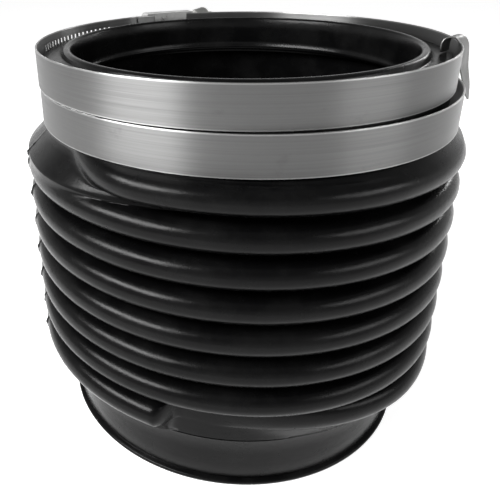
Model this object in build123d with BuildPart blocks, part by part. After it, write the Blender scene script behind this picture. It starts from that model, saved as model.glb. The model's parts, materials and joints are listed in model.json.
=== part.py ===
from build123d import *
from math import atan, cos, degrees, hypot, radians, sin
import os

# Rubber bellows boot with two worm-drive hose clamps and a hooked metal strip.
# The boot stands on its lower cuff. The origin is the centre of that cuff's mouth, +Z runs up the
# axis, and azimuths are counted from -Y (the front) towards +X (the right), in degrees.
# All lengths are in millimetres.

# ---- Bellows: one left-handed helical fold, descending towards +azimuth
crest_radius = 92.8
fold_depth = 11.8
wall = 2.6
fold_pitch = 13.5
fold_width = 10.4
flank_draft = 0.5
fold_turns = 7
section_arc = 10.0
cavity_section_arc = 20.0
fold_start_azimuth = -30.0
fold_runin_arc = 20.0
fold_end_overrun = 10.0
fold_end_round = 4.0
last_fold_above_cuff = 14.75
cavity_start_azimuth = 60.0
cavity_end_azimuth = -60.0
cavity_fade_arc = 40.0

# ---- Closing fold above the cuff, which leaves a relieved stretch at the front
closing_rise_azimuth = -10.0
closing_full_azimuth = 50.0
closing_fade_azimuth = 150.0
closing_end_azimuth = 210.0
relief_rise = 0.14

# ---- Shoulders that lead from the end folds to the neck and to the cuff
neck_shoulder_step = 3.0
neck_shoulder_lead = 20.0
neck_shoulder_reach_first = 6.5
neck_shoulder_reach_side = 12.9
neck_shoulder_reach_last = 15.5
neck_shoulder_side_arc = 120.0
neck_shoulder_drop = 1.0
neck_shoulder_fade = 20.0
neck_shoulder_under_clamp = 5.0
cuff_shoulder_reach = 15.0
cuff_shoulder_azimuth = 165.0

# ---- Lower cuff: lip, clamp seat and bead
cuff_recess = 1.6
cuff_wall = 5.5
lip_proud = 1.4
lip_height = 2.2
seat_width = 20.4
seat_groove_depth = 0.9
bead_proud = 0.6
bead_width = 1.5

# ---- Neck
neck_seat_recess = 0.4
neck_seat_length = 7.6
neck_wall = 12.2
neck_bore_length = 16.0
neck_face_below_clamp = 4.6
rim_width = 3.6
rim_height = 3.0
undercut_slope = 2.4

# ---- Worm-drive clamps
band_width = 14.5
band_thickness = 0.7
band_gap = 0.9
first_fold_to_clamp = 5.45
layer_gap = 0.15
upper_band_fit = 0.5
upper_band_flare = 0.3
lower_band_nest = 1.7
lower_band_shift = 1.9
lower_band_shift_azimuth = 70.0
band_tail_arc = 57.0
joggle_arc = 9.0
head_gap_arc = 1.5
lap_before_housing = 6.0
slot_pitch = 3.175
slot_length = 9.2
slot_width = 1.5
upper_slots = 19
lower_slots = 4
tail_slots = 2
upper_housing_azimuth = -153.0
lower_housing_azimuth = 158.0

# ---- Screw housings
housing_length = 26.0
barrel_wall = 1.0
edge_wall = 0.6
housing_clearance = 0.2
saddle_thickness = 0.5
saddle_start = 1.8
end_wall = 1.6

# ---- Worm screws
worm_radius = 5.2
worm_clearance = 0.25
screw_offset = 1.4
journal_radius = 3.0
journal_clearance = 0.06
screw_tip = 2.0
end_play = 0.1
screw_neck = 4.0
collar_clearance = 0.3
collar_length = 5.8
collar_bevel = 2.2
hex_across_flats = 9.5
hex_length = 5.2
driver_slot_width = 1.4
driver_slot_depth = 2.2

# ---- Hooked strip over the upper clamp
strip_width = 11.0
strip_thickness = 0.5
strip_azimuth = 79.0
strip_clearance = 0.25
strip_inner_leg = 9.0
strip_bend_radius = 2.1
strip_outer_leg = 6.0
strip_lower_clamp_gap = 0.9
strip_flare = 4.4
strip_flare_leg = 9.8

# ---- Radii and heights that follow from the sizes above
root_radius = crest_radius - fold_depth
inner_root_radius = root_radius - wall
fold_centre_radius = crest_radius - fold_width / 2
seat_radius = root_radius - cuff_recess
lip_radius = seat_radius + lip_proud
cuff_bore_radius = seat_radius - cuff_wall
neck_shoulder_radius = root_radius + neck_shoulder_step
neck_seat_radius = neck_shoulder_radius - neck_seat_recess
neck_bore_radius = neck_seat_radius - neck_wall
rim_radius = neck_bore_radius + rim_width
upper_band_radius_bottom = neck_shoulder_radius + upper_band_fit + band_thickness
upper_band_radius_top = upper_band_radius_bottom + upper_band_flare
lower_band_radius = upper_band_radius_bottom + lower_band_nest

seat_top = lip_height + seat_width
cuff_top = seat_top + bead_width
fold_low = cuff_top + last_fold_above_cuff
fold_high = fold_low + fold_pitch * (fold_turns + fold_end_overrun / 360)
lower_band_bottom = fold_high + first_fold_to_clamp
lower_band_top = lower_band_bottom + band_width
upper_band_bottom = lower_band_top + band_gap
upper_band_top = upper_band_bottom + band_width
neck_face = upper_band_top - neck_face_below_clamp
rim_top = neck_face + rim_height
neck_cone_bottom = fold_high - fold_pitch
neck_cone_top = lower_band_bottom + neck_shoulder_under_clamp


def outward(azimuth):
    """Unit vector that points away from the axis at an azimuth."""
    return Vector(sin(radians(azimuth)), -cos(radians(azimuth)), 0)


def radial_plane(azimuth, radius=0.0, height=0.0, twist=None):
    """Plane that holds the axis: x points outwards, y up, and its normal clockwise from above."""
    normal = twist or Vector(-cos(radians(azimuth)), -sin(radians(azimuth)), 0)
    origin = outward(azimuth) * radius + Vector(0, 0, height)
    return Plane(origin=origin, x_dir=outward(azimuth), z_dir=normal)


def facing_plane(azimuth, radius, height):
    """Plane that faces outwards: x along the tangent, y up the axis."""
    origin = outward(azimuth) * radius + Vector(0, 0, height)
    return Plane(origin=origin, x_dir=outward(azimuth + 90), z_dir=outward(azimuth))


def fold_height(along):
    """Height of the crest's centre; along is an azimuth that keeps counting turn after turn."""
    return fold_high - fold_pitch * (along - fold_start_azimuth) / 360


def between(along, places):
    """Value at a place on the helix, on straight lines between (place, value) pairs."""
    for (low, first), (high, last) in zip(places, places[1:]):
        if along <= high:
            return first + (last - first) * max(0, along - low) / (high - low)
    return places[-1][1]


def section_places(low, high, extra=(), arc=section_arc):
    """Evenly spaced places on the helix between two ends, with the extra ones among them."""
    count = round((high - low) / arc)
    even = [low + (high - low) * number / count for number in range(count + 1)]
    clear = [
        place for place in even if all(abs(place - other) > arc / 3 for other in extra)
    ]
    return sorted(clear + list(extra))


def helical_loft(outline, places):
    """Ruled loft through the sections of a feature that follows the fold's helix."""
    with BuildPart() as feature:
        for along in places:
            with BuildSketch(radial_plane(along, fold_centre_radius, fold_height(along))):
                with BuildLine():
                    Polyline(*outline(along), close=True)
                make_face()
        loft(ruled=True)
    return feature.part


# ---- Where the fold rises, ends and rises again on its way down
sunk = 0.05
sunk_lip = 0.3
outer_foot = root_radius - wall / 2 - fold_centre_radius
inner_foot = inner_root_radius - wall / 2 - fold_centre_radius
last_turn = 360 * fold_turns
fold_end = last_turn + fold_start_azimuth + fold_end_overrun
fold_rise = [
    (fold_start_azimuth - fold_runin_arc, sunk),
    (fold_start_azimuth, 1),
    (fold_end, 1),
    (fold_end + fold_end_round, relief_rise),
    (last_turn + closing_rise_azimuth, relief_rise),
    (last_turn + closing_full_azimuth, 1),
    (last_turn + closing_fade_azimuth, 1),
    (last_turn + closing_end_azimuth, sunk),
]
cavity_rise = [
    (cavity_start_azimuth - cavity_fade_arc, sunk),
    (cavity_start_azimuth, 1),
    (last_turn + cavity_end_azimuth - cavity_fade_arc, 1),
    (last_turn + cavity_end_azimuth, sunk),
]
neck_shoulder_rise = [
    (fold_start_azimuth - neck_shoulder_lead, sunk),
    (fold_start_azimuth, 1),
    (360 + fold_start_azimuth - neck_shoulder_fade / 2, 1),
    (360 + fold_start_azimuth + neck_shoulder_fade / 2, sunk),
]
neck_shoulder_reach = [
    (fold_start_azimuth, neck_shoulder_reach_first),
    (fold_start_azimuth + neck_shoulder_side_arc, neck_shoulder_reach_side),
    (fold_start_azimuth + 360, neck_shoulder_reach_last),
]
cuff_shoulder_start = last_turn - 360 + cuff_shoulder_azimuth


def risen(points, foot, rise):
    """Points of a section drawn towards its foot where the feature fades."""
    return [(foot + (x - foot) * rise, y) for x, y in points]


def fold_outline(along):
    """Outside of the fold: a crest in five flats on a foot inside the tube's wall."""
    half = fold_width / 2
    points = [(outer_foot, -half - flank_draft), (half * 0.35, -half), (half, -half * 0.42)]
    points += [(x, -y) for x, y in reversed(points)]
    return risen(points, outer_foot, between(along, fold_rise))


def cavity_outline(along):
    """Hollow of the fold, at least one wall within its outside."""
    half = fold_width / 2 - wall
    points = [(inner_foot, -half - flank_draft), (half * 0.9, -half * 0.6)]
    points += [(x, -y) for x, y in reversed(points)]
    return risen(points, inner_foot, between(along, cavity_rise))


def neck_shoulder_outline(along):
    """Ramp from the first turn up to the neck: a broad crest, then a cone of 45 degrees."""
    half = fold_width / 2
    reach = between(along, neck_shoulder_reach)
    shelf = half - neck_shoulder_drop
    up = (fold_height(along) + reach - neck_cone_bottom) / (neck_cone_top - neck_cone_bottom)
    top = root_radius + neck_shoulder_step * up - fold_centre_radius
    points = [
        (outer_foot, 0),
        (half * 0.9, 0),
        (shelf, max(0.4, reach - (shelf - top))),
        (top - sunk_lip, reach + sunk_lip),
        (outer_foot, reach + sunk_lip),
    ]
    return risen(points, outer_foot, between(along, neck_shoulder_rise))


def cuff_shoulder_outline(along):
    """Ramp from the last turns down to the cuff."""
    half = fold_width / 2
    low = root_radius - sunk_lip - fold_centre_radius
    start = (along - cuff_shoulder_start) / cavity_fade_arc
    rise = min(between(along, fold_rise), max(sunk, start))
    points = [(outer_foot, 0), (half * 0.5, 0), (half * 0.84, -half * 0.72)]
    points += [(low, -cuff_shoulder_reach), (outer_foot, -cuff_shoulder_reach)]
    return risen(points, outer_foot, rise)


# ---- Bellows boot
turns_end = fold_rise[-1][0]
ends = [place for place, rise in fold_rise]
fold = helical_loft(fold_outline, section_places(ends[0], turns_end, ends))
neck_shoulder = helical_loft(
    neck_shoulder_outline,
    section_places(neck_shoulder_rise[0][0], neck_shoulder_rise[-1][0]),
)
cuff_shoulder = helical_loft(
    cuff_shoulder_outline,
    section_places(cuff_shoulder_start, turns_end, ends[2:]),
)
fold_cavity = helical_loft(
    cavity_outline,
    section_places(cavity_rise[0][0], cavity_rise[-1][0], arc=cavity_section_arc),
)

with BuildPart() as bellows_boot:
    with BuildSketch(Plane.XZ):
        with BuildLine():
            Polyline(
                (cuff_bore_radius, 0),
                (lip_radius, 0),
                (lip_radius, lip_height),
                (seat_radius - seat_groove_depth, lip_height + seat_groove_depth / 2),
                (seat_radius, lip_height + seat_groove_depth),
                (seat_radius, seat_top),
                (seat_radius + bead_proud, seat_top + bead_width / 2),
                (seat_radius - seat_groove_depth, cuff_top),
                (root_radius, cuff_top + seat_groove_depth),
                (root_radius, neck_cone_bottom),
                (neck_shoulder_radius, neck_cone_top),
                (neck_shoulder_radius, upper_band_bottom),
                (neck_seat_radius, neck_face - neck_seat_length),
                (neck_seat_radius, neck_face),
                (rim_radius, neck_face),
                (rim_radius, rim_top),
                (neck_bore_radius, rim_top),
                (neck_bore_radius, rim_top - neck_bore_length),
                (inner_root_radius, rim_top - neck_bore_length - undercut_slope),
                (inner_root_radius, cuff_top + wall),
                (cuff_bore_radius, cuff_top),
                close=True,
            )
        make_face()
    revolve(axis=Axis.Z)
    add(fold)
    add(neck_shoulder)
    add(cuff_shoulder)
    add(fold_cavity, mode=Mode.SUBTRACT)
bellows_boot.part.label = "bellows_boot"


# ---- Worm-drive clamps
class Clamp:
    """One clamp's fit: its cone, its place on the axis and the azimuth of its screw housing."""

    def __init__(self, radius_top, radius_bottom, bottom, housing_azimuth, slots_ahead):
        self.radius_bottom = radius_bottom
        self.slope = (radius_top - radius_bottom) / band_width
        self.bottom = bottom
        self.azimuth = housing_azimuth
        self.slots_ahead = slots_ahead
        self.screw_height = bottom + band_width / 2 + screw_offset
        self.lean = cos(atan(self.slope))
        self.screw_radius = self.lapped(self.screw_height) + (worm_clearance + worm_radius) / self.lean

    def outer(self, height):
        """Outer radius of the single band at a height."""
        return self.radius_bottom + self.slope * (height - self.bottom)

    def inner(self, height):
        """Inner radius of the band at a height."""
        return self.outer(height) - band_thickness

    def lapped(self, height):
        """Outer radius where the tail lies over the band."""
        return self.outer(height) + layer_gap + band_thickness

    def room(self, along):
        """Distance from the screw's axis to the lapped band, some way along the screw."""
        return (hypot(self.screw_radius, along) - self.lapped(self.screw_height)) * self.lean

    def section(self, lift=0.0):
        """Slanted section of the band in a plane that holds the axis."""
        top = self.bottom + band_width
        with BuildLine() as line:
            Polyline(
                (self.inner(self.bottom) + lift, self.bottom),
                (self.outer(self.bottom) + lift, self.bottom),
                (self.outer(top) + lift, top),
                (self.inner(top) + lift, top),
                close=True,
            )
        return line.line

    def screw_plane(self, along=0.0):
        """Plane square to the screw: x outwards, y up, its normal towards the screw's head."""
        tangent = radial_plane(self.azimuth).z_dir
        centre = outward(self.azimuth) * self.screw_radius + Vector(0, 0, self.screw_height)
        return Plane(origin=centre + tangent * along, x_dir=outward(self.azimuth), z_dir=tangent)


def clamp_band(clamp):
    """Slotted band: one turn, a joggle, and a tail that laps over the band's own head end."""
    lift = band_thickness + layer_gap
    lap_azimuth = clamp.azimuth + degrees(housing_length / 2 / clamp.radius_bottom) + lap_before_housing
    joggle_azimuth = lap_azimuth + joggle_arc
    slot_step = degrees(slot_pitch / clamp.radius_bottom)
    slot_azimuths = [joggle_azimuth + slot_step * (n + 1) for n in range(clamp.slots_ahead)]
    slot_azimuths += [lap_azimuth - slot_step * (n + 1) for n in range(tail_slots)]
    with BuildPart() as band:
        with BuildSketch(radial_plane(joggle_azimuth)):
            make_face(clamp.section())
        revolve(axis=Axis.Z, revolution_arc=360 - joggle_arc - head_gap_arc)
        with BuildSketch(radial_plane(joggle_azimuth)):
            make_face(clamp.section())
        with BuildSketch(radial_plane(lap_azimuth)):
            make_face(clamp.section(lift))
        loft(ruled=True)
        with BuildSketch(radial_plane(lap_azimuth - band_tail_arc)):
            make_face(clamp.section(lift))
        revolve(axis=Axis.Z, revolution_arc=band_tail_arc)
        for azimuth in slot_azimuths:
            with BuildSketch(facing_plane(azimuth, clamp.radius_bottom, clamp.bottom + band_width / 2)):
                Rectangle(slot_width, slot_length)
            extrude(amount=6 * band_thickness, both=True, mode=Mode.SUBTRACT)
    return band


def screw_housing(clamp):
    """Wrapped housing: a saddle inside the band, walls over its edges and a barrel over the screw."""
    top = clamp.bottom + band_width + housing_clearance
    low = clamp.bottom - housing_clearance - edge_wall
    high = top + edge_wall
    sole = housing_clearance + saddle_thickness
    saddle_low = clamp.bottom + saddle_start
    barrel_radius = worm_radius + worm_clearance + barrel_wall
    with BuildPart() as housing:
        with BuildSketch(radial_plane(clamp.azimuth)):
            with BuildLine():
                Polyline(
                    (clamp.inner(low) - housing_clearance, low),
                    (clamp.screw_radius - barrel_radius * 0.35, low),
                    (clamp.screw_radius + barrel_radius * 0.1, clamp.screw_height - barrel_radius),
                    (clamp.screw_radius + barrel_radius * 0.1, high),
                    (clamp.inner(high) - sole, high),
                    (clamp.inner(saddle_low) - sole, saddle_low),
                    (clamp.inner(low) - housing_clearance, saddle_low),
                    close=True,
                )
            make_face()
        extrude(amount=housing_length / 2, both=True)
        with BuildSketch(clamp.screw_plane()):
            Circle(barrel_radius)
        extrude(amount=housing_length / 2, both=True)
        # Underside that follows the band, so that the saddle is a curved strap
        with BuildSketch(radial_plane(clamp.azimuth - 12)):
            with BuildLine():
                Polyline(
                    (clamp.inner(low) - 9, low - 1),
                    (clamp.inner(low) - housing_clearance, low - 1),
                    (clamp.inner(low) - housing_clearance, saddle_low),
                    (clamp.inner(saddle_low) - sole, saddle_low),
                    (clamp.inner(high + 1) - sole, high + 1),
                    (clamp.inner(low) - 9, high + 1),
                    close=True,
                )
            make_face()
        revolve(axis=Axis.Z, revolution_arc=24, mode=Mode.SUBTRACT)
        # Channel for the two layers of band
        with BuildSketch(radial_plane(clamp.azimuth - 12)):
            with BuildLine():
                Polyline(
                    (clamp.inner(clamp.bottom) - housing_clearance, clamp.bottom - housing_clearance),
                    (clamp.lapped(clamp.bottom) + housing_clearance, clamp.bottom - housing_clearance),
                    (clamp.lapped(top) + housing_clearance, top),
                    (clamp.inner(top) - housing_clearance, top),
                    close=True,
                )
            make_face()
        revolve(axis=Axis.Z, revolution_arc=24, mode=Mode.SUBTRACT)
        # Chamber for the worm, closed by two end walls that carry its journals
        with BuildSketch(clamp.screw_plane()):
            Circle(worm_radius + worm_clearance)
        extrude(amount=housing_length / 2 - end_wall, both=True, mode=Mode.SUBTRACT)
        with BuildSketch(clamp.screw_plane()):
            Circle(journal_radius + journal_clearance)
        extrude(amount=housing_length / 2, both=True, mode=Mode.SUBTRACT)
    return housing


def worm_screw(clamp):
    """Screw with its worm between two journals, and a collared, slotted hexagon head."""
    worm_half = housing_length / 2 - end_wall - end_play
    neck_end = housing_length / 2 + screw_neck
    collar_end = neck_end + collar_length
    head_end = collar_end + hex_length
    with BuildPart() as screw:
        with BuildSketch(clamp.screw_plane()):
            Circle(worm_radius)
        extrude(amount=worm_half, both=True)
        with BuildSketch(clamp.screw_plane(-housing_length / 2 - screw_tip)):
            Circle(journal_radius)
        extrude(amount=housing_length + screw_tip + screw_neck + 1)
        with BuildSketch(clamp.screw_plane(neck_end)):
            Circle(clamp.room(neck_end) - collar_clearance)
        extrude(amount=collar_length - collar_bevel)
        with BuildSketch(clamp.screw_plane(neck_end + collar_length - collar_bevel)):
            Circle(clamp.room(neck_end) - collar_clearance)
        extrude(amount=collar_bevel, taper=45)
        with BuildSketch(clamp.screw_plane(collar_end - 0.5)):
            RegularPolygon(hex_across_flats / 2, 6, major_radius=False)
        extrude(amount=hex_length + 0.5)
        with BuildSketch(clamp.screw_plane(head_end)):
            Rectangle(driver_slot_width, 2 * hex_across_flats)
        extrude(amount=-driver_slot_depth, mode=Mode.SUBTRACT)
    return screw


upper = Clamp(
    upper_band_radius_top, upper_band_radius_bottom, upper_band_bottom, upper_housing_azimuth, upper_slots
)
lower = Clamp(
    lower_band_radius, lower_band_radius, lower_band_bottom, lower_housing_azimuth, lower_slots
)

upper_clamp_band = clamp_band(upper)
upper_clamp_band.part.label = "upper_clamp_band"
upper_clamp_housing = screw_housing(upper)
upper_clamp_housing.part.label = "upper_clamp_housing"
upper_clamp_screw = worm_screw(upper)
upper_clamp_screw.part.label = "upper_clamp_screw"

lower_offset = Location(outward(lower_band_shift_azimuth) * lower_band_shift)
lower_clamp_band = clamp_band(lower)
lower_clamp_band.part.move(lower_offset)
lower_clamp_band.part.label = "lower_clamp_band"
lower_clamp_housing = screw_housing(lower)
lower_clamp_housing.part.move(lower_offset)
lower_clamp_housing.part.label = "lower_clamp_housing"
lower_clamp_screw = worm_screw(lower)
lower_clamp_screw.part.move(lower_offset)
lower_clamp_screw.part.label = "lower_clamp_screw"


# ---- Strip hooked over the upper clamp's top edge
def hooked_strip():
    """Flat strip bent over the band, its outer leg flared to clear the lower clamp."""
    inner = neck_seat_radius + strip_clearance + strip_thickness / 2
    outer = inner + 2 * strip_bend_radius
    bend = upper_band_top - 0.3
    knee_radius = lower.outer(lower_band_top) + lower_band_shift + strip_lower_clamp_gap
    knee = bend - strip_outer_leg - 8
    with BuildPart() as strip:
        with BuildSketch(radial_plane(strip_azimuth)):
            with BuildLine() as route:
                Line((inner, bend - strip_inner_leg), (inner, bend))
                ThreePointArc(
                    (inner, bend), (inner + strip_bend_radius, bend + strip_bend_radius), (outer, bend)
                )
                Polyline(
                    (outer, bend),
                    (outer, bend - strip_outer_leg),
                    (knee_radius, knee),
                    (knee_radius + strip_flare, knee - strip_flare_leg),
                )
            trace(line_width=strip_thickness)
        extrude(amount=strip_width / 2, both=True)
    return strip


ground_strip = hooked_strip()
ground_strip.part.label = "ground_strip"

os.makedirs("parts", exist_ok=True)
for piece in (
    bellows_boot,
    upper_clamp_band,
    upper_clamp_housing,
    upper_clamp_screw,
    lower_clamp_band,
    lower_clamp_housing,
    lower_clamp_screw,
    ground_strip,
):
    export_step(piece.part, f"parts/{piece.part.label}.step")
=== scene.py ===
# %% [markdown]
# # A rubber bellows boot with two worm-drive clamps
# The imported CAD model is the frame: every length below is in metres and every piece is built in its
# place, round the boot's axis, which is Z. Azimuths are in degrees and run from the front (-Y) towards
# the right (+X).

# %% Load the frame
import json
from math import cos, degrees, pi, radians, sin, sqrt

import bmesh
import bpy
import numpy as np
from mathutils import Matrix, Vector


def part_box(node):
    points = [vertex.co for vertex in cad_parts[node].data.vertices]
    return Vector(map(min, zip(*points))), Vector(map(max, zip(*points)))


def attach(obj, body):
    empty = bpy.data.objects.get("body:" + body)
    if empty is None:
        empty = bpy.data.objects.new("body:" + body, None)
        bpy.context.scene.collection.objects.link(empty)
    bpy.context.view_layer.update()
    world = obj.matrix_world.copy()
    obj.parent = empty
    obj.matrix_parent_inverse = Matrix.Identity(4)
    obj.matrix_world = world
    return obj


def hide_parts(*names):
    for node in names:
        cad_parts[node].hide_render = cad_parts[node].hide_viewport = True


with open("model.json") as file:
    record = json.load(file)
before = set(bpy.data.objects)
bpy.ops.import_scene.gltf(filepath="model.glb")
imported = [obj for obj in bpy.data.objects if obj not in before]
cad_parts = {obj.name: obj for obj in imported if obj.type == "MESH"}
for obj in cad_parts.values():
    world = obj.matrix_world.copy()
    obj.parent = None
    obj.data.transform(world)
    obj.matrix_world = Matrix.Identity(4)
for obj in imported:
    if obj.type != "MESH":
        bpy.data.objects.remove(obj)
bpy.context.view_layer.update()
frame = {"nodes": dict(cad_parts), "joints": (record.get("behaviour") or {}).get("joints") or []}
MM = 0.001

# %% [markdown]
# ## Places taken from the CAD nodes
# The boot's own box gives the crest radius and the height of the rim. The two bands give the heights
# that the shoulders lead up to, so that a change in the CAD moves the looks with it.

# %% Main places
_, boot_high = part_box("bellows_boot")
upper_low, upper_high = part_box("upper_clamp_band")
lower_low, lower_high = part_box("lower_clamp_band")
CREST = boot_high[0]
RIM_TOP = boot_high[2]
RIM_HEIGHT = 3.0 * MM
NECK_FACE = RIM_TOP - RIM_HEIGHT
CLAMP_FOOT = lower_low[2]
print("crest radius", CREST, "rim", RIM_TOP, "lower clamp from", CLAMP_FOOT)

# %% [markdown]
# ## The moulded fold
# The real boot is one moulding whose wall runs down in a single left-handed helical fold. A stack of
# rings would be easier, but it would lose the slope of the ribs and the places where the fold starts
# under the clamps and dies into the cuff. So the outside is described as a radius at each azimuth and
# height, and a grid is wrapped onto it. A crest is half round: HALF is the radius of that round, ROOT
# the boot's radius between two crests, and CREASE how softly two shapes of the mould meet.

# %% Sizes of the fold and helpers for its shape
PITCH = 13.5 * MM
HALF = 5.2 * MM
ROOT = 81.0 * MM
WALL = 2.6 * MM
CREASE = 0.9 * MM
FLANK = 0.5 * MM
TURNS = 7
START = -30.0
CENTRE = CREST - HALF
TOP_CREST = CLAMP_FOOT - 5.45 * MM
NECK = 84.0 * MM
CONE_LOW = TOP_CREST - PITCH
CONE_HIGH = CLAMP_FOOT + 5.0 * MM
SEAT = 79.4 * MM
CUFF_TOP = 25.1 * MM
print(TURNS, "turns of", PITCH, "from", TOP_CREST, "down to", TOP_CREST - TURNS * PITCH)


def ease(value, low, high):
    """Smooth step from 0 at low to 1 at high."""
    t = np.clip((value - low) / (high - low), 0.0, 1.0)
    return t * t * (3.0 - 2.0 * t)


def between(value, low, full, falling, gone):
    """Smooth hump: 0 up to low, 1 from full to falling, and 0 again from gone."""
    return ease(value, low, full) * (1.0 - ease(value, falling, gone))


def soft_max(a, b, blend):
    """Larger of two radii, with the crease between them rounded."""
    h = np.clip(0.5 + 0.5 * (a - b) / blend, 0.0, 1.0)
    return b * (1.0 - h) + a * h + blend * h * (1.0 - h)


def rib(offset):
    """Radius of a full rib at a height above or below the centre of its crest."""
    bulge = np.sqrt(np.clip(HALF ** 2 - offset ** 2, 0.0, None))
    flank = (CENTRE - ROOT) * (np.abs(offset) - HALF) / FLANK
    return np.where(np.abs(offset) < HALF, CENTRE + bulge, CENTRE - flank)


# %% [markdown]
# The fold doesn't stand out fully all the way. It rises out of the neck's cone, and after seven turns it
# breaks off at the front as a beak. From there a closing fold swells, runs round the right and dies away
# at the back. Each of these is a share from 0 to 1 of the full depth, eased between two azimuths.

# %% Height of each turn and how far it stands out
RUN_IN = (START + 332.0, START + 370.0)
BEAK = (-17.5, -13.5)
CLOSING_FOLD = (-14.0, 56.0, 150.0, 212.0)


def crest_height(azimuth, turn):
    """Height of the crest's centre at an azimuth from START to START + 360."""
    return TOP_CREST - PITCH * ((azimuth - START) / 360.0 + turn)


def rise(azimuth, turn):
    """Share of its full depth that a turn has at an azimuth from START to START + 360."""
    if turn == -1:
        return ease(azimuth, *RUN_IN)
    if turn == 0:
        return ease(azimuth + 360.0, *RUN_IN)
    if turn < TURNS:
        return np.ones_like(azimuth)
    return np.maximum(1.0 - ease(azimuth, *BEAK), between(azimuth, *CLOSING_FOLD))


# %% [markdown]
# Two shoulders join the fold to the plain ends of the boot. The upper one is a broad shelf that grows
# round the first turn and ends in a cone up to the neck. The lower one is a ramp from the last crest down
# to the cuff. Both follow the fold's slope, so their heights are counted from its crest.

# %% Shoulders above the first turn and below the last
LEAST_SHELF = 0.4 * MM
RAMP_STARTS = (165.0, 205.0)


def neck_cone(height):
    """Radius of the slim cone under the shoulders, between the tube and the neck."""
    return np.interp(height, (CONE_LOW, CONE_HIGH), (ROOT, NECK))


def neck_shoulder(azimuth, height, turn):
    """Broad crest above the first turn, then a cone of 45 degrees up to the neck."""
    along = (azimuth - START) / 360.0 + turn
    offset = height - crest_height(azimuth, turn)
    reach = np.interp(along, (0.0, 0.333, 1.0), (6.5, 12.9, 15.5)) * MM
    shelf = CREST - np.interp(along, (0.0, 0.333, 0.84), (1.4, 1.4, 0.4)) * MM
    knee = reach - (shelf - neck_cone(crest_height(azimuth, turn) + reach))
    knee = np.maximum(knee, LEAST_SHELF)
    ramp = np.where(offset < knee, shelf, shelf - (offset - knee))
    fade = between(along, -0.05, 0.02, 0.93, 1.10)
    return ROOT + (ramp - ROOT) * np.where(offset > 0.0, fade, 0.0)


def cuff_shoulder(azimuth, height, turn):
    """Ramp from the last turn's crest down to the cuff."""
    offset = crest_height(azimuth, turn) - height
    reach = 15.0 * MM
    lowest = 18.0 * MM
    knee_up = 3.4 * MM
    knee_out = 3.9 * MM
    slope = (CENTRE + knee_out - ROOT) / (reach - knee_up)
    ramp = CENTRE + knee_out - slope * np.clip(offset - knee_up, 0.0, None)
    if turn == TURNS:
        share = rise(azimuth, turn)
    else:
        share = ease(azimuth, *RAMP_STARTS)
    ramp = SEAT + (ramp - SEAT) * share
    return np.where((offset > 0.0) & (offset < lowest), ramp, 0.0)


# %% [markdown]
# The mould's two halves meet in a vertical line on each side. Where the rubber crept between them it
# left a thin, ragged fin on the crests. A texture would look flat from the side, so it is part of the
# shape. It needs columns of its own in the grid, closer than the rest.

# %% Flash along the mould's parting line
PARTING = (-69.0, 111.0)
FIN_WIDTH = 0.35


def flash(azimuth, height, radius):
    """Height of the ragged fin at a place on the outside."""
    ragged = 0.55 + 0.3 * np.sin(height / MM * 1.7) + 0.2 * np.sin(height / MM * 4.3 + 1.0)
    proud = np.clip((radius - ROOT) / (CREST - ROOT), 0.0, 1.0) ** 2
    aside = [np.abs((azimuth - line + 180.0) % 360.0 - 180.0) for line in PARTING]
    near = sum(np.clip(1.0 - away / FIN_WIDTH, 0.0, 1.0) for away in aside)
    return near * (0.12 + 0.75 * np.clip(ragged, 0.0, 1.0) * proud) * MM


# %% [markdown]
# The whole outside is the largest of all these radii, with each crease rounded, as a mould's cutter
# leaves it. Beside the beak the wall under the fold steps in a little, which leaves a shallow recess
# above the cuff.

# %% The whole outside
RECESS = (-19.0, -12.0, 20.0, 60.0)
RECESS_RADIUS = 79.5 * MM
RECESS_TOP = 34.0 * MM
SINK = 0.6 * MM


def outside(azimuth, height):
    """Outer radius of the bellows for arrays of azimuths and heights."""
    under = 1.0 - ease(height, RECESS_TOP - 0.4 * MM, RECESS_TOP + 0.2 * MM)
    foot = ROOT - (ROOT - RECESS_RADIUS) * between(azimuth, *RECESS) * under
    radius = np.where(height > CONE_LOW, neck_cone(height), foot)
    for turn in range(-1, TURNS + 1):
        share = rise(azimuth, turn)
        full = rib(height - crest_height(azimuth, turn))
        radius = soft_max(ROOT + (full - ROOT) * share - (1.0 - share) * SINK, radius, CREASE)
    for turn in (-1, 0, 1):
        radius = soft_max(neck_shoulder(azimuth, height, turn), radius, CREASE)
    for turn in (TURNS - 1, TURNS):
        radius = soft_max(cuff_shoulder(azimuth, height, turn), radius, CREASE)
    return radius + flash(azimuth, height, radius)


# %% [markdown]
# The wall is equally thick all over, so the fold is a hollow inside the boot. The hollow starts a little
# after the fold and ends a little before it. The grid's rows lie closer together where the outline
# bends. They are spaced by a fold that never starts or ends, because rows that jump from one azimuth to
# the next would give the skin a jagged edge.

# %% Grid rows along one azimuth
COLUMNS = 264
OUTER_ROWS = 178
INNER_ROWS = 134
FINE = 0.12 * MM
BELLOWS_LOW = CUFF_TOP + 0.6 * MM
BELLOWS_HIGH = CLAMP_FOOT + 6.0 * MM
BEND_WEIGHT = 1.4 * MM


def regular(azimuth, height):
    """The fold as it would run if it never started or ended; rows are spaced by this."""
    radius = np.full_like(height, ROOT)
    for turn in range(-2, TURNS + 3):
        radius = soft_max(rib(height - crest_height(azimuth, turn)), radius, CREASE)
    return radius


def spread(radius, height, rows):
    """Heights of the rows along a dense outline, closer together where it bends."""
    step_r, step_h = np.diff(radius), np.diff(height)
    length = np.hypot(step_r, step_h)
    turn = np.abs(np.diff(np.unwrap(np.arctan2(step_h, step_r))))
    measure = np.concatenate([[0.0], np.cumsum(length + BEND_WEIGHT * np.concatenate([[0.0], turn]))])
    target = np.linspace(0.0, measure[-1], rows)
    return np.interp(target, measure, height)


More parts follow.
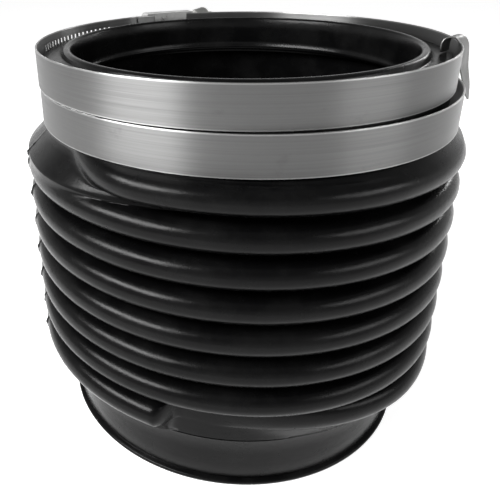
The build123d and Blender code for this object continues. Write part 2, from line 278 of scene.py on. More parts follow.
# %% Hollow of the fold
HOLLOW_STARTS = (START + 50.0, START + 90.0)
HOLLOW_ENDS = (START + 300.0, START + 340.0)
HOLLOW_HIGH = RIM_TOP - 19.0 * MM
HOLLOW_LOW = CUFF_TOP + 4.0 * MM
HOLLOW_FLANK = 1.4 * MM
HOLLOW_CREASE = 1.2 * MM
HOLLOW_SINK = 0.8 * MM


def hollow(offset):
    """Inner radius of a full fold at a height above or below the centre of its crest."""
    half = HALF - WALL
    bulge = np.sqrt(np.clip(half ** 2 - offset ** 2, 0.0, None))
    flank = (CENTRE - ROOT + WALL) * (np.abs(offset) - half) / HOLLOW_FLANK
    return np.where(np.abs(offset) < half, CENTRE + bulge, CENTRE - flank)


def inside(azimuth, height, endless=False):
    """Inner radius of the bellows; endless leaves out the start and the end of the hollow."""
    radius = np.full_like(height, ROOT - WALL)
    for turn in range(-2, TURNS + 3) if endless else range(TURNS):
        share = 1.0
        if turn == 0 and not endless:
            share = ease(azimuth, *HOLLOW_STARTS)
        if turn == TURNS - 1 and not endless:
            share = 1.0 - ease(azimuth, *HOLLOW_ENDS)
        full = ROOT - WALL + (hollow(height - crest_height(azimuth, turn)) - ROOT + WALL) * share
        radius = soft_max(full - (1.0 - share) * HOLLOW_SINK, radius, HOLLOW_CREASE)
    return radius


# %% [markdown]
# The cuff and the neck are plain turned shapes, so each is one outline for all azimuths. The cuff has a
# lip at its mouth, a groove above it, and a bead and a groove on top of its seat. The neck has a face with
# a raised rim, and a lip inside its bore. Steps are in millimetres out and up from a named place.

# %% Plain outlines of the cuff and the neck
UPPER_FOOT = upper_low[2]
CUFF_BORE = 73.9 * MM
NECK_BORE = 71.4 * MM
LIP = 80.8 * MM


def steps_from(radius, height, steps):
    """Points of an outline, from steps in millimetres out and up from a place."""
    return [(radius + out * MM, height + up * MM) for out, up in steps]


cuff_outline = [(CUFF_BORE, 0.0)]
cuff_outline += steps_from(LIP, 0.0, [(-1.2, 0.0), (-0.3, 0.3), (0.0, 1.0), (0.0, 1.7), (-0.4, 2.1)])
cuff_outline += steps_from(SEAT, 0.0, [
    (-0.2, 2.3), (-0.8, 2.7), (-0.2, 3.2), (0.0, 3.8), (0.0, 10.0), (0.0, 16.0), (0.0, 22.4),
    (0.3, 23.1), (0.9, 23.6), (0.9, 24.1), (-0.2, 24.4), (-2.0, 24.6), (-2.1, 25.3),
])
neck_outline = steps_from(NECK, UPPER_FOOT, [(0.0, 0.0), (-0.3, 0.4), (-0.2, 2.2), (-0.4, 2.8)])
neck_outline += steps_from(NECK, NECK_FACE, [
    (-0.4, -1.4), (-0.8, -0.5), (-1.6, 0.0), (-4.0, 0.0), (-7.0, 0.0), (-8.4, 0.1), (-8.9, 0.6),
])
neck_outline += steps_from(NECK_BORE, RIM_TOP, [
    (3.4, -1.0), (2.8, -0.3), (2.1, 0.0), (1.2, 0.0), (0.5, -0.3), (0.0, -1.0),
    (0.0, -6.0), (0.0, -12.0), (0.0, -13.6), (-0.5, -14.3), (-0.7, -15.1), (-0.4, -15.8),
    (0.5, -16.3), (2.6, -16.8),
])
neck_outline += steps_from(ROOT - WALL, RIM_TOP, [(-1.0, -17.4), (0.0, -18.6)])
print("rows", len(cuff_outline) + len(neck_outline) + OUTER_ROWS + INNER_ROWS)

# %% [markdown]
# The grid is made once with as many columns as there are azimuths and as many rows as one outline has
# points. Each vertex then moves to its place, and the grid's borders are merged, which closes the wall
# into one watertight skin.

# %% Wrap the grid
FIN_COLUMNS = (-0.4, 0.0, 0.4)
LEAST_GAP = 0.3


def column_azimuths():
    """Even columns round the boot, with three more at each parting line."""
    even = [START + 360.0 * number / COLUMNS for number in range(COLUMNS)]
    lines = [START + (line - START) % 360.0 for line in PARTING]
    extra = [line + step for line in lines for step in FIN_COLUMNS]
    return sorted([a for a in even if all(abs(a - e) > LEAST_GAP for e in extra)] + extra)


def boot_points():
    """One array of places, column by column round the axis."""
    columns = []
    cuff, neck = np.array(cuff_outline), np.array(neck_outline)
    dense_up = np.arange(BELLOWS_LOW, BELLOWS_HIGH, FINE)
    dense_down = np.arange(HOLLOW_HIGH, HOLLOW_LOW, -FINE)
    for azimuth in column_azimuths():
        outer = spread(regular(azimuth, dense_up), dense_up, OUTER_ROWS)
        inner = spread(inside(azimuth, dense_down, endless=True), dense_down, INNER_ROWS)
        outer_radius = outside(np.full_like(outer, azimuth), outer)
        radius = np.concatenate([cuff[:, 0], outer_radius, neck[:, 0], inside(azimuth, inner)])
        height = np.concatenate([cuff[:, 1], outer, neck[:, 1], inner])
        x, y = radius * sin(radians(azimuth)), -radius * cos(radians(azimuth))
        columns.append(np.stack([x, y, height], axis=1))
    return np.array(columns)


# %% From a bmesh to a piece
def new_piece(name, bm, material, smooth=60.0):
    """Finish a bmesh as a named object with a material."""
    mesh = bpy.data.meshes.new(name)
    bm.to_mesh(mesh)
    bm.free()
    piece = bpy.data.objects.new(name, mesh)
    bpy.context.collection.objects.link(piece)
    mesh.materials.append(material)
    for face in mesh.polygons:
        face.use_smooth = True
    mesh.set_sharp_from_angle(angle=radians(smooth))
    return piece


def wrap_grid(places):
    """Closed skin whose grid runs along and round the places given."""
    across, along = places.shape[0], places.shape[1]
    bm = bmesh.new()
    bmesh.ops.create_grid(bm, x_segments=along, y_segments=across, size=1.0)
    looped = np.concatenate([places, places[:1]], axis=0)
    looped = np.concatenate([looped, looped[:, :1]], axis=1)
    for vert, place in zip(bm.verts, looped.reshape(-1, 3)):
        vert.co = place
    bmesh.ops.remove_doubles(bm, verts=bm.verts, dist=1e-6)
    bmesh.ops.recalc_face_normals(bm, faces=bm.faces)
    return bm


# %% [markdown]
# ## Black rubber
# Moulded rubber is nearly black and satin. A single colour would look like plastic, so the sheen is
# broken by slow noise, the skin has a fine grain, wide patches carry a greyish bloom, and a few pale
# specks of dust lie on it. All of it reads Object coordinates, so it stays put on the boot.

# %% Materials, nodes and links
def new_material(name, roughness, metallic=0.0, specular=0.5):
    """New material with its shader; constants go straight on the shader's sockets."""
    material = bpy.data.materials.new(name)
    material.use_nodes = True
    shader = material.node_tree.nodes["Principled BSDF"]
    shader.inputs["Roughness"].default_value = roughness
    shader.inputs["Metallic"].default_value = metallic
    shader.inputs["Specular IOR Level"].default_value = specular
    return material, shader


def node(owner, kind, **settings):
    """New node in a material or world; settings name its inputs, or properties of its own."""
    made = owner.node_tree.nodes.new(kind)
    for name, value in settings.items():
        socket = made.inputs.get(name.replace("_", " "))
        if socket is not None and not hasattr(made, name):
            socket.default_value = value
        else:
            setattr(made, name, value)
    return made


def link(owner, source, target):
    """Join an output to an input."""
    owner.node_tree.links.new(source, target)


def joined(owner, operation, first, second=0.0):
    """Output of a Math node; each value is an output or a number."""
    made = node(owner, "ShaderNodeMath", operation=operation)
    for socket, value in zip(made.inputs, (first, second)):
        if isinstance(value, float):
            socket.default_value = value
        else:
            link(owner, value, socket)
    return made.outputs["Value"]


# %% Coordinates, noise and ranges
def coordinates(material, stretch=(1.0, 1.0, 1.0)):
    """Object coordinates, stretched."""
    places = node(material, "ShaderNodeTexCoord")
    mapping = node(material, "ShaderNodeMapping")
    mapping.inputs["Scale"].default_value = stretch
    link(material, places.outputs["Object"], mapping.inputs["Vector"])
    return mapping.outputs["Vector"]


def noise(material, where, scale, detail=4.0, rough=0.55):
    """Noise between 0 and 1."""
    made = node(material, "ShaderNodeTexNoise")
    made.inputs["Scale"].default_value = scale
    made.inputs["Detail"].default_value = detail
    made.inputs["Roughness"].default_value = rough
    link(material, where, made.inputs["Vector"])
    return made.outputs["Fac"]


def remap(owner, value, low, high, new_low, new_high):
    """Map a value from one range to another, held at its ends."""
    made = node(owner, "ShaderNodeMapRange")
    made.inputs["From Min"].default_value = low
    made.inputs["From Max"].default_value = high
    made.inputs["To Min"].default_value = new_low
    made.inputs["To Max"].default_value = new_high
    link(owner, value, made.inputs["Value"])
    return made.outputs["Result"]


# %% [markdown]
# A Mix node has one set of sockets for each kind of value, all with the same names, so the sockets for
# colours are picked by their numbers.

# %% Colours and bump
MIX_SHARE, MIX_FIRST, MIX_SECOND, MIX_COLOUR = 0, 6, 7, 2


def mixed(material, share, first, second):
    """Colour that goes from first to second as the share rises; either may be an output."""
    made = node(material, "ShaderNodeMix", data_type="RGBA")
    for number, value in ((MIX_FIRST, first), (MIX_SECOND, second)):
        if isinstance(value, tuple):
            made.inputs[number].default_value = (*value, 1.0)
        else:
            link(material, value, made.inputs[number])
    link(material, share, made.inputs[MIX_SHARE])
    return made.outputs[MIX_COLOUR]


def times(colour, factor):
    """Colour made darker or brighter, with no part above 1."""
    return tuple(min(1.0, factor * part) for part in colour)


def bumped(material, shader, height, strength, distance):
    """Bump from a height socket."""
    made = node(material, "ShaderNodeBump")
    made.inputs["Strength"].default_value = strength
    made.inputs["Distance"].default_value = distance
    link(material, height, made.inputs["Height"])
    link(material, made.outputs["Normal"], shader.inputs["Normal"])


# %% Moulded rubber
RUBBER_BLACK = (0.0018, 0.0018, 0.0019)
RUBBER_BLOOM = (0.006, 0.006, 0.006)
DUST = (0.32, 0.31, 0.30)


def dust_specks(material, where):
    """1 in the middle of about one in five of the cells of a Voronoi pattern."""
    cells = node(material, "ShaderNodeTexVoronoi", Scale=62.0)
    link(material, where, cells.inputs["Vector"])
    speck = remap(material, cells.outputs["Distance"], 0.014, 0.026, 1.0, 0.0)
    chosen = node(material, "ShaderNodeSeparateColor")
    link(material, cells.outputs["Color"], chosen.inputs["Color"])
    some = remap(material, chosen.outputs["Red"], 0.80, 0.82, 0.0, 1.0)
    return joined(material, "MULTIPLY", speck, some)


def moulded_rubber():
    """Satin black rubber with bloom, grain and a few specks of dust."""
    material, shader = new_material("moulded rubber", 0.3, specular=0.1)
    where = coordinates(material)
    bloom = remap(material, noise(material, where, 38.0, 5.0, 0.6), 0.45, 0.75, 0.0, 1.0)
    skin = mixed(material, bloom, RUBBER_BLACK, RUBBER_BLOOM)
    link(material, mixed(material, dust_specks(material, where), skin, DUST), shader.inputs["Base Color"])
    sheen = noise(material, where, 120.0, 6.0, 0.65)
    link(material, remap(material, sheen, 0.3, 0.7, 0.18, 0.30), shader.inputs["Roughness"])
    grain = noise(material, where, 2600.0, 3.0, 0.6)
    lumps = noise(material, coordinates(material, (1.0, 1.0, 2.2)), 210.0, 5.0, 0.6)
    relief = joined(material, "ADD", joined(material, "MULTIPLY", lumps, 2.2), grain)
    bumped(material, shader, relief, 0.5, 0.06 * MM)
    return material


rubber = moulded_rubber()
boot = new_piece("boot_skin", wrap_grid(boot_points()), rubber, smooth=70.0)
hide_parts("bellows_boot")
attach(boot, "boot")
print("boot", len(boot.data.polygons), "faces")

# %% [markdown]
# ## Brushed steel
# The bands are stainless strip, rolled and brushed along its length. Fine lines that run one way throw
# the light across themselves, so each lamp shows as a bright stripe from edge to edge of the strip that
# stays narrow round the axis. Anisotropy gives that: its tangent follows the bands' own UV map, whose U
# runs round the axis, and a quarter turn lays the spread across. The lines are noise stretched round the
# axis. The strip has a few dull stains, and its rounded edges, found from V, carry a painted highlight:
# a brighter base colour that stands in for the light on the rim.

# %% Brushed steel for the bands
LINES_ALONG = 9.0
QUARTER_TURN = 0.25
# Distances from the strip's middle, in V, over which the edges are painted brighter as a highlight.
EDGE_HIGHLIGHT = (0.455, 0.485)


def brushed_steel(name, colour, across, roughness):
    """Steel brushed along U, with streaks round the axis and a painted highlight along its edges."""
    material, shader = new_material(name, roughness, metallic=1.0)
    shader.inputs["Anisotropic"].default_value = 0.95
    shader.inputs["Anisotropic Rotation"].default_value = QUARTER_TURN
    tangent = node(material, "ShaderNodeTangent", direction_type="UV_MAP", uv_map="strip")
    link(material, tangent.outputs["Tangent"], shader.inputs["Tangent"])
    streaks = noise(material, coordinates(material, (LINES_ALONG, LINES_ALONG, across)), 1.0, 8.0, 0.7)
    stains = noise(material, coordinates(material, (1.0, 1.0, 1.6)), 45.0, 6.0, 0.6)
    shade = remap(material, streaks, 0.3, 0.7, 0.0, 1.0)
    base = mixed(material, shade, times(colour, 0.78), times(colour, 1.14))
    dull = remap(material, stains, 0.60, 0.68, 0.0, 0.45)
    stained = mixed(material, dull, base, times(colour, 0.55))
    strip_map = node(material, "ShaderNodeUVMap", uv_map="strip")
    parts = node(material, "ShaderNodeSeparateXYZ")
    link(material, strip_map.outputs["UV"], parts.inputs["Vector"])
    from_middle = joined(material, "ABSOLUTE", joined(material, "SUBTRACT", parts.outputs["Y"], 0.5))
    # Painted highlight: near the strip's edges the base colour rises to 2.6 times its own, in place of the
    # light on the rounded rim.
    painted_edge_highlight = remap(material, from_middle, *EDGE_HIGHLIGHT, 0.0, 1.0)
    link(material, mixed(material, painted_edge_highlight, stained, times(colour, 2.6)), shader.inputs["Base Color"])
    dulled = remap(material, streaks, 0.3, 0.7, roughness - 0.05, roughness + 0.08)
    link(material, dulled, shader.inputs["Roughness"])
    fine = coordinates(material, (30.0, 30.0, across * 6.0))
    bumped(material, shader, noise(material, fine, 1.0, 4.0, 0.6), 0.25, 0.02 * MM)
    return material


band_steel = brushed_steel("brushed band steel", (0.16, 0.16, 0.159), 1500.0, 0.42)
print("materials", rubber.name, "and", band_steel.name)

# %% [markdown]
# ## The two bands
# A band is one strip: it goes once round, steps out over its own head end, and its tail lies on top.
# So it is made as a flat sheet first, with a column of faces for each slot, which are deleted. The
# sheet is laid round the axis, and modifiers give it thickness and rounded edges. A ring would be
# quicker, but it would lose the step where the tail starts and the slots that show beside the housing.

# %% Sizes of the band
BAND = 0.7 * MM
BAND_EDGE = 0.24 * MM
LAYER = 0.85 * MM
RIM_ROW = 0.9 * MM
SLOT_PITCH = 3.175 * MM
SLOT_WIDTH = 1.4 * MM
SLOT_LOW = 4.6 * MM
SLOT_HIGH = 3.9 * MM
TAIL_LENGTH = 57.0
HEAD_END = 358.5
STEP_OUT = 9.0
print("band", BAND, "thick, slots every", SLOT_PITCH)


def outward(azimuth):
    """Unit vector away from the axis at an azimuth."""
    return Vector((sin(radians(azimuth)), -cos(radians(azimuth)), 0.0))


# %% Thickness and rounded edges
def thicken(piece, thickness):
    """Give a sheet its thickness, half on each side."""
    solid = piece.modifiers.new("thickness", "SOLIDIFY")
    solid.thickness = thickness
    solid.offset = 0.0


def round_edges(piece, width, angle):
    """Round the edges that are sharper than an angle in degrees."""
    edge = piece.modifiers.new("edges", "BEVEL")
    edge.width = width
    edge.segments = 2
    edge.limit_method = "ANGLE"
    edge.angle_limit = radians(angle)


# %% Columns of a band
COLUMN_STEP = 1.6
COLUMN_GAP = 0.5


def strip_columns(first, last, slot_first, slots, radius):
    """Azimuths of the columns, and which of the gaps between them are slots."""
    step = degrees(SLOT_PITCH / radius)
    half = degrees(SLOT_WIDTH / radius) / 2.0
    marks = []
    for number in range(slots):
        centre = slot_first + step * (number + 1)
        marks += [centre - half, centre + half]
    plain = [a for a in np.arange(first, last, COLUMN_STEP) if first + COLUMN_GAP < a < last - COLUMN_GAP]
    clear = [a for a in plain if a < marks[0] - COLUMN_GAP or a > marks[-1] + COLUMN_GAP]
    azimuths = sorted([first, last] + clear + marks)
    opened = {azimuths.index(marks[n]) for n in range(0, len(marks), 2)}
    return azimuths, opened


# %% Lay a sheet round the axis
def band_sheet(name, foot, top, radius_low, radius_high, lap, slots, centre, material):
    """Slotted band as a solid piece; lap is the azimuth where the tail starts to lie on top."""
    azimuths, opened = strip_columns(lap - TAIL_LENGTH, lap + HEAD_END, lap + STEP_OUT, slots, radius_low)
    middle = (foot + top) / 2.0
    heights = [foot, foot + RIM_ROW, middle - SLOT_LOW, middle, middle + SLOT_HIGH, top - RIM_ROW, top]
    rows = len(heights)
    bm = bmesh.new()
    bmesh.ops.create_grid(bm, x_segments=rows - 1, y_segments=len(azimuths) - 1, size=1.0)
    uv = bm.loops.layers.uv.new("strip")
    for number, vert in enumerate(bm.verts):
        azimuth = azimuths[number // rows]
        height = heights[number % rows]
        share = (height - foot) / (top - foot)
        radius = radius_low + (radius_high - radius_low) * share - BAND / 2.0
        radius += LAYER * (1.0 - float(ease(azimuth, lap, lap + STEP_OUT)))
        vert.co = Vector((radius * sin(radians(azimuth)), -radius * cos(radians(azimuth)), height)) + centre
        for loop in vert.link_loops:
            loop[uv].uv = (azimuth / 360.0, share)
    slot_rows = (2, 3)
    cut = [face for number, face in enumerate(bm.faces)
           if number // (rows - 1) in opened and number % (rows - 1) in slot_rows]
    bmesh.ops.delete(bm, geom=cut, context="FACES")
    bmesh.ops.recalc_face_normals(bm, faces=bm.faces)
    piece = new_piece(name, bm, material, smooth=50.0)
    thicken(piece, BAND)
    round_edges(piece, BAND_EDGE, 50.0)
    print(name, len(azimuths), "columns", len(cut) // len(slot_rows), "slots")
    return piece


# %% [markdown]
# The upper band sits true. The lower one was pushed a little off the axis, towards the right, when its
# screw was tightened. Both are a hair wider than in the frame on the sides that face each other.

# %% Upper and lower band
UPPER_RADIUS = upper_high[0]
UPPER_TAPER = 0.1 * MM
LOWER_SHIFT = outward(95.0) * 1.9 * MM
LOWER_RADIUS = lower_high[0] - LOWER_SHIFT.x
NEARER = 0.4 * MM
upper_band = band_sheet("upper_band", upper_low[2] - NEARER, upper_high[2], UPPER_RADIUS - UPPER_TAPER,
                        UPPER_RADIUS, lap=-138.3, slots=19, centre=Vector(), material=band_steel)
lower_band = band_sheet("lower_band", lower_low[2], lower_high[2] + NEARER / 2.0, LOWER_RADIUS,
                        LOWER_RADIUS, lap=172.6, slots=14, centre=LOWER_SHIFT, material=band_steel)
for piece, cad in ((upper_band, "upper_clamp_band"), (lower_band, "lower_clamp_band")):
    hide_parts(cad)
    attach(piece, "boot")

# %% [markdown]
# ## Screw housings
# The housings are pressed from thicker steel and tumbled, so they are brighter and have no brushing.
# Their CAD solids have the right shape. They keep it, and a bevel rounds the edges that would
# otherwise be knife-sharp.

# %% Tumbled steel for the housings and the strip
def tumbled_steel(name, colour, roughness):
    """Bright pressed steel with soft stains and small dents."""
    material, shader = new_material(name, roughness, metallic=1.0)
    where = coordinates(material)
    stains = noise(material, where, 160.0, 6.0, 0.6)
    shade = remap(material, stains, 0.35, 0.7, 0.0, 1.0)
    link(material, mixed(material, shade, colour, times(colour, 0.7)), shader.inputs["Base Color"])
    dulled = remap(material, stains, 0.3, 0.7, roughness, roughness + 0.14)
    link(material, dulled, shader.inputs["Roughness"])
    bumped(material, shader, noise(material, where, 420.0, 4.0, 0.5), 0.4, 0.08 * MM)
    return material


HOUSING_EDGE = 0.22 * MM
housing_steel = tumbled_steel("tumbled housing steel", (0.62, 0.62, 0.61), 0.26)
for name in ("upper_clamp_housing", "lower_clamp_housing"):
    housing = frame["nodes"][name]
    housing.data.materials.clear()
    housing.data.materials.append(housing_steel)
    round_edges(housing, HOUSING_EDGE, 40.0)
print("housings finished")

# %% [markdown]
# ## Worm screws
# Each screw is turned: a journal, the worm, a second journal, and a collar with a domed shoulder under
# a slotted hexagon. The turned part is one grid whose rows follow the outline and whose columns go
# round. On the worm the radius also rises and falls along a helix, which draws the thread. The thread's
# pitch is the pitch of the band's slots, because one turn of the screw moves the band by one slot.

# %% Turned part with its thread
screw_steel = tumbled_steel("plated screw steel", (0.58, 0.58, 0.56), 0.24)
HOUSING_HALF = 13.0 * MM
JOURNAL = 3.0 * MM
WORM_END = 4.6 * MM
WORM = 5.15 * MM
THREAD_DEPTH = 1.1 * MM
THREAD_ROW = 0.4 * MM
SCREW_COLUMNS = 48


def screw_outline(half):
    """Outline of the turned part as (distance along, radius, thread share) from tip to head."""
    worm = half - 1.7 * MM
    tip = -half - 2.0 * MM
    collar = half + 4.0 * MM
    first = [(tip, 0.0), (tip, 2.4 * MM), (tip + 0.5 * MM, JOURNAL), (-worm - 0.1 * MM, JOURNAL),
             (-worm, JOURNAL), (-worm, WORM_END)]
    last = [(worm, WORM_END), (worm, JOURNAL), (worm + 0.1 * MM, JOURNAL), (collar, JOURNAL)]
    last += [(collar + along * MM, radius * MM) for along, radius in (
        (0.0, 6.2), (0.4, 6.7), (2.5, 7.1), (4.8, 7.7), (6.0, 7.6), (7.2, 6.9), (8.0, 5.6), (8.1, 5.0),
        (8.1, 0.0))]
    outline = [(*point, 0.0) for point in first]
    outline += [(place, WORM, 1.0) for place in np.arange(-worm + 0.5 * MM, worm - 0.4 * MM, THREAD_ROW)]
    return outline + [(*point, 0.0) for point in last]


def turned(outline, columns, thread_pitch, thread_depth):
    """Closed turned bmesh about +Z, with a helical thread where the outline asks for it."""
    bm = bmesh.new()
    bmesh.ops.create_grid(bm, x_segments=len(outline) - 1, y_segments=columns, size=1.0)
    for number, vert in enumerate(bm.verts):
        place, radius, thread = outline[number % len(outline)]
        angle = 2.0 * pi * (number // len(outline)) / columns
        wave = 0.5 - 0.5 * cos(2.0 * pi * place / thread_pitch - angle)
        radius -= thread * thread_depth * wave
        vert.co = (radius * cos(angle), radius * sin(angle), place)
    bmesh.ops.remove_doubles(bm, verts=bm.verts, dist=1e-6)
    bmesh.ops.recalc_face_normals(bm, faces=bm.faces)
    return bm


# %% Slotted hexagon
HEX_EDGE = 0.45 * MM
HEX_LOW = HOUSING_HALF + 12.0 * MM
HEX_HIGH = HOUSING_HALF + 15.0 * MM
HEX_FLATS = 9.0 * MM
SLOT_HALF = 0.7 * MM
SLOT_DEPTH = 2.0 * MM


def end_faces(bm, height):
    """Faces that lie flat at a height and look upwards."""
    bm.normal_update()
    flat = [face for face in bm.faces if face.normal.z > 0.9]
    return [face for face in flat if abs(face.calc_center_median().z - height) < 1e-6]


def add_hexagon(bm, low, high, flats):
    """Bevelled hexagon between two heights, with a driver slot pressed into its end."""
    corner = flats / sqrt(3.0)
    new = bmesh.ops.create_cone(bm, cap_ends=True, segments=6, radius1=corner, radius2=corner,
                                depth=high - low)["verts"]
    bmesh.ops.translate(bm, verts=new, vec=(0.0, 0.0, (low + high) / 2.0))
    edges = [edge for edge in bm.edges if edge.verts[0] in new and edge.verts[1] in new]
    bmesh.ops.bevel(bm, geom=edges, offset=HEX_EDGE, segments=2, profile=0.5, material=-1, affect="EDGES")
    for side in (-1.0, 1.0):
        end = end_faces(bm, high)
        corners = [vert for face in end for vert in face.verts]
        geometry = end + [edge for face in end for edge in face.edges] + corners
        bmesh.ops.bisect_plane(bm, geom=list(dict.fromkeys(geometry)),
                               plane_co=(side * SLOT_HALF, 0.0, 0.0), plane_no=(1.0, 0.0, 0.0))
    slot = [face for face in end_faces(bm, high) if abs(face.calc_center_median().x) < SLOT_HALF]
    pressed = bmesh.ops.extrude_face_region(bm, geom=slot)["geom"]
    bmesh.ops.delete(bm, geom=slot, context="FACES")
    floor = [item for item in pressed if isinstance(item, bmesh.types.BMVert)]
    bmesh.ops.translate(bm, verts=floor, vec=(0.0, 0.0, -SLOT_DEPTH))


# %% Both screws
joints = {joint["name"]: joint for joint in frame["joints"]}


def worm_screw(name, joint):
    """Screw at rest on its joint's axis."""
    bm = turned(screw_outline(HOUSING_HALF), SCREW_COLUMNS, SLOT_PITCH, THREAD_DEPTH)
    add_hexagon(bm, HEX_LOW, HEX_HIGH, HEX_FLATS)
    axis = Vector(joint["axis"]).normalized()
    turn = axis.to_track_quat("Z", "Y").to_matrix().to_4x4()
    bmesh.ops.transform(bm, matrix=Matrix.Translation(Vector(joint["pos_m"])) @ turn, verts=bm.verts)
    return new_piece(name, bm, screw_steel, smooth=35.0)


for name, joint, cad, body in (
    ("upper_worm_screw", "upper_screw_turn", "upper_clamp_screw", "upper_screw"),
    ("lower_worm_screw", "lower_screw_turn", "lower_clamp_screw", "lower_screw"),
):
    screw = worm_screw(name, joints[joint])
    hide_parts(cad)
    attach(screw, body)
    print(name, len(screw.data.polygons), "faces")

# %% [markdown]
# ## Hooked strip
# A springy strip hooks over the upper band's top edge: a short leg inside, a round bend, and a longer
# leg outside that swings out to a narrow tip. It was twisted as it was pushed on, so its flat side
# looks partly towards the front. It is a sheet whose rows follow that route, then it is smoothed and
# gets its thickness. A curve with a bevel couldn't narrow its width and keep its thickness.

# %% Route of the strip
_, strip_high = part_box("ground_strip")
STRIP_TOP = strip_high[2]
STRIP_AZIMUTH = 83.0
STRIP_TWIST = -30.0
STRIP_THICKNESS = 0.5 * MM


def strip_route():
    """Rows as (radius, height, half width, sideways shift), written in millimetres below the top."""
    wide = 4.4
    hook = [(80.6, 6.2), (80.4, 4.2), (80.6, 2.2), (81.4, 0.9), (82.7, 0.35), (84.3, 0.3), (85.6, 0.8),
            (86.6, 1.9)]
    rows = [(radius, drop, wide, 0.0) for radius, drop in hook]
    rows += [(87.3, 3.4, wide, 0.4), (87.6, 5.5, wide, 0.7), (87.9, 8.5, wide, 1.0),
             (88.3, 12.5, 4.2, 1.3), (89.2, 16.0, 3.8, 1.8), (90.2, 19.8, 3.2, 2.4),
             (90.7, 23.4, 2.1, 3.0), (91.1, 26.0, 0.4, 4.3)]
    return [(radius * MM, STRIP_TOP - drop * MM, half * MM, aside * MM) for radius, drop, half, aside in rows]


# %% Strip along its route
def hooked_strip():
    """Sheet laid along the route and made solid."""
    rows = strip_route()
    across = 5
    bm = bmesh.new()
    bmesh.ops.create_grid(bm, x_segments=across - 1, y_segments=len(rows) - 1, size=1.0)
    out = outward(STRIP_AZIMUTH)
    side = outward(STRIP_AZIMUTH + STRIP_TWIST + 90.0)
    for number, vert in enumerate(bm.verts):
        radius, height, half, shift = rows[number // across]
        share = (number % across) / (across - 1) * 2.0 - 1.0
        vert.co = out * radius + side * (half * share + shift) + Vector((0.0, 0.0, height))
    bmesh.ops.recalc_face_normals(bm, faces=bm.faces)
    piece = new_piece("hook_strip", bm, strip_steel, smooth=50.0)
    round_off = piece.modifiers.new("smooth", "SUBSURF")
    round_off.levels = 2
    round_off.render_levels = 2
    thicken(piece, STRIP_THICKNESS)
    return piece


strip_steel = tumbled_steel("thin strip steel", (0.25, 0.25, 0.247), 0.34)
strip = hooked_strip()
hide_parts("ground_strip")
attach(strip, "boot")
print("strip top", STRIP_TOP)

# %% [markdown]
# ## Floor, light and camera
# A pale floor keeps a soft shadow. Its material adds a little white for camera, glossy and transmission
# rays, and the world does the same near the horizon, so the background is white also in the metal.
# Overhead the reflected sky is dim, as under a studio's ceiling, which keeps the tops of the crests
# dark. A broad lamp at the upper left does most of the work, a weaker one lifts the right, and a narrow
# one behind draws a thin line of light down the right side.

# %% Share of rays that see the white background
def seen_directly(owner):
    """1 for camera, glossy and transmission rays, 0 for the rest."""
    path = node(owner, "ShaderNodeLightPath")
    seen = joined(owner, "MAXIMUM", path.outputs["Is Camera Ray"], path.outputs["Is Glossy Ray"])
    return joined(owner, "MAXIMUM", seen, path.outputs["Is Transmission Ray"])


# %% Floor
FLOOR_GLOW = 0.72
bm = bmesh.new()
bmesh.ops.create_grid(bm, x_segments=2, y_segments=2, size=3.0)
bmesh.ops.translate(bm, verts=bm.verts, vec=(0.0, 0.0, -0.2 * MM))
paper, paper_shader = new_material("pale floor", 0.9, specular=0.1)
paper_shader.inputs["Base Color"].default_value = (0.78, 0.78, 0.78, 1.0)
paper_shader.inputs["Emission Color"].default_value = (1.0, 1.0, 1.0, 1.0)
glow = joined(paper, "MULTIPLY", seen_directly(paper), FLOOR_GLOW)
link(paper, glow, paper_shader.inputs["Emission Strength"])
floor = new_piece("floor", bm, paper)
print("floor", len(floor.data.polygons), "faces")

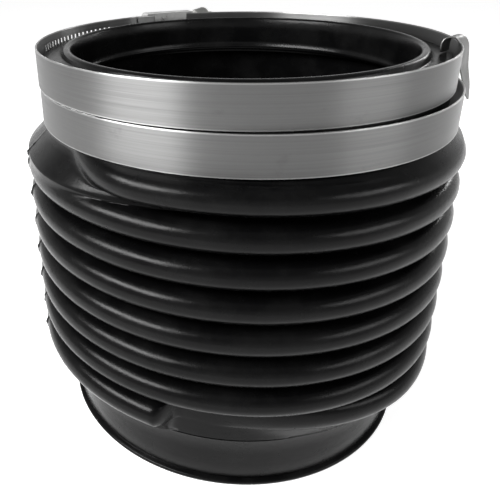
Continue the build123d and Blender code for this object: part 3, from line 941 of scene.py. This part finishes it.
# %% World
SKY = 0.28
WHITE = 1.0
world = bpy.data.worlds.new("studio")
bpy.context.scene.world = world
world.use_nodes = True
sky = world.node_tree.nodes["Background"]
sky.inputs["Color"].default_value = (1.0, 1.0, 1.0, 1.0)
direction = node(world, "ShaderNodeTexCoord")
upward = node(world, "ShaderNodeSeparateXYZ")
link(world, direction.outputs["Generated"], upward.inputs["Vector"])
near_horizon = remap(world, upward.outputs["Z"], 0.15, 0.5, 1.0, 0.0)
background = joined(world, "MULTIPLY", seen_directly(world), near_horizon)
link(world, remap(world, background, 0.0, 1.0, SKY, WHITE), sky.inputs["Strength"])
print("sky", SKY, "and", WHITE, "where it is seen near the horizon")


# %% Lamps
BOOT_MIDDLE = Vector((0.0, 0.0, 0.09))


def lamp(name, place, width, height, power):
    """Area lamp that faces the boot."""
    light = bpy.data.lights.new(name, "AREA")
    light.shape = "RECTANGLE"
    light.size = width
    light.size_y = height
    light.energy = power
    holder = bpy.data.objects.new(name, light)
    bpy.context.collection.objects.link(holder)
    holder.location = place
    holder.rotation_euler = (BOOT_MIDDLE - Vector(place)).to_track_quat("-Z", "Y").to_euler()
    print(name, power, "W")


lamp("soft lamp at the left", (-0.55, -0.40, 0.62), 0.60, 0.24, 14.0)
lamp("weak lamp at the right", (0.80, -0.32, 0.50), 0.55, 0.25, 2.8)
lamp("narrow lamp behind the right", (0.53, 0.60, 0.45), 0.06, 0.30, 0.8)

# %% [markdown]
# The camera stands in front of the boot, above its rim, and looks down. Its frame is shifted instead of
# turned further, so that upright lines keep their slight convergence.

# %% Camera
YAW, PITCH_DOWN, ROLL = radians(-7.67), radians(-23.61), radians(-1.17)
CAMERA_PLACE = Vector((0.0, -254.9, 208.9)) * MM
camera_data = bpy.data.cameras.new("camera")
camera_data.sensor_width = 36.0
camera_data.lens = 42.084
camera_data.shift_x = 0.174
camera_data.shift_y = -0.109
camera_data.clip_start = 0.01
camera = bpy.data.objects.new("camera", camera_data)
bpy.context.collection.objects.link(camera)
ahead = Vector((sin(YAW) * cos(PITCH_DOWN), cos(YAW) * cos(PITCH_DOWN), sin(PITCH_DOWN)))
level = Vector((cos(YAW), -sin(YAW), 0.0))
upright = level.cross(ahead)
across = cos(ROLL) * level + sin(ROLL) * upright
above = cos(ROLL) * upright - sin(ROLL) * level
turned_to = Matrix((across, above, -ahead)).transposed().to_4x4()
camera.matrix_world = Matrix.Translation(CAMERA_PLACE) @ turned_to
bpy.context.scene.camera = camera
bpy.context.scene.view_settings.view_transform = "Standard"
print("camera at", tuple(CAMERA_PLACE))
